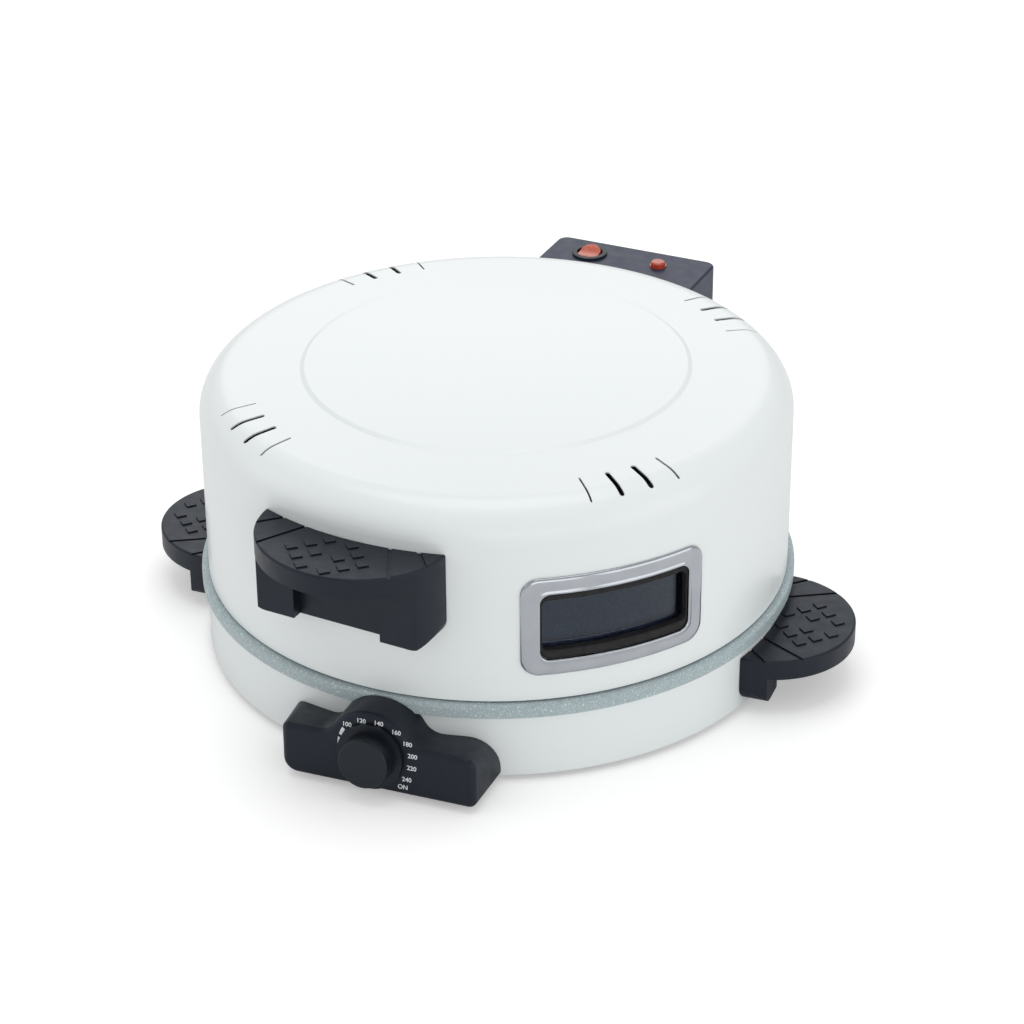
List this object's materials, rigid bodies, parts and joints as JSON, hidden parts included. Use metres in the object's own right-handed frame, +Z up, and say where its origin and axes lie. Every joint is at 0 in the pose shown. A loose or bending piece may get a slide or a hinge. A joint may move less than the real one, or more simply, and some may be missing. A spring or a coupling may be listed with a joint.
{
  "type": "electric flatbread maker",
  "caption": "Countertop flatbread maker: a round drum with a coated baking plate, a hinged domed lid with a window and vents, a dial panel, moulded handles and a rear switch housing.",
  "frame": {"origin": "on the table under the middle of the overall box, on the drum's axis", "axes": "+Z up along the drum's axis, +Y to the back where the hinge is, -Y to the front where the lid's handle and the dial are, +X to the right seen from the front"},
  "size_m": [0.5328, 0.5214, 0.2191],
  "materials": {
    "off_white_enamel": "smooth gloss enamel",
    "speckled_coating": "speckled non-stick coating on cast aluminium",
    "bright_sheet": "bright aluminised sheet",
    "plated_steel": "zinc plated",
    "element_sheath": "heat-dulled steel sheath",
    "dark_plastic": "satin heat-proof plastic",
    "black_plastic": "smooth black plastic",
    "housing_plastic": "satin bluish grey plastic",
    "rocker_red": "clear red plastic, lit from below",
    "window_metal": "satin metal bezel",
    "tinted_glass": "clear glass, dark behind",
    "lamp_red": "clear red plastic",
    "white_ceramic": "unglazed ceramic",
    "foot_rubber": "moulded rubber"
  },
  "bodies": {
    "base": {"base_shell": "off_white_enamel", "baking_plate": "speckled_coating", "bottom_cover": "plated_steel", "cover_brackets": "plated_steel", "cover_screws": "plated_steel", "feet": "foot_rubber", "foot_screws": "plated_steel", "lower_reflector": "bright_sheet", "plate_studs": "plated_steel", "lower_element": "element_sheath", "lower_element_clamps": "plated_steel", "thermal_cutout": "white_ceramic", "terminal_block": "white_ceramic", "cord_gland": "black_plastic", "side_handle_left": "dark_plastic", "side_handle_right": "dark_plastic", "side_handle_screws": "plated_steel", "control_panel": "dark_plastic", "panel_screws": "plated_steel", "thermostat_body": "white_ceramic", "thermostat_nut": "plated_steel", "base_hinge_bracket": "plated_steel", "base_hinge_screws": "plated_steel", "hinge_pin": "plated_steel"},
    "lid": {"lid_shell": "off_white_enamel", "lid_liner": "bright_sheet", "upper_element": "element_sheath", "upper_element_clamps": "plated_steel", "element_bushings": "white_ceramic", "window_frame": "window_metal", "window_glass": "tinted_glass", "window_retainer": "plated_steel", "lid_handle": "dark_plastic", "lid_handle_screws": "plated_steel", "lid_hinge_bracket": "plated_steel", "lid_hinge_screws": "plated_steel", "rear_housing": "housing_plastic", "rear_housing_cover": "housing_plastic", "housing_screws": "plated_steel", "housing_cover_screws": "plated_steel", "switch_body": "black_plastic", "lamp_lens": "lamp_red", "lamp_holder": "black_plastic"},
    "knob": {"knob": "black_plastic", "thermostat_shaft": "plated_steel"},
    "rocker": {"switch_rocker": "rocker_red"}
  },
  "joints": [
    {"name": "lid_hinge", "type": "hinge", "parent": "base", "child": "lid", "pos_m": [0, 0.236, 0.054], "axis": [-1, 0, 0], "range_deg": [0, 95]},
    {"name": "knob_turn", "type": "hinge", "parent": "base", "child": "knob", "pos_m": [0.0176, -0.23964, 0.02986], "axis": [-0.0728, 0.9919, -0.1045], "range_deg": [0, 210]},
    {"name": "rocker_tilt", "type": "hinge", "parent": "lid", "child": "rocker", "pos_m": [-0.031, 0.237, 0.189], "axis": [-1, 0, 0], "range_deg": [0, 20]}
  ]
}
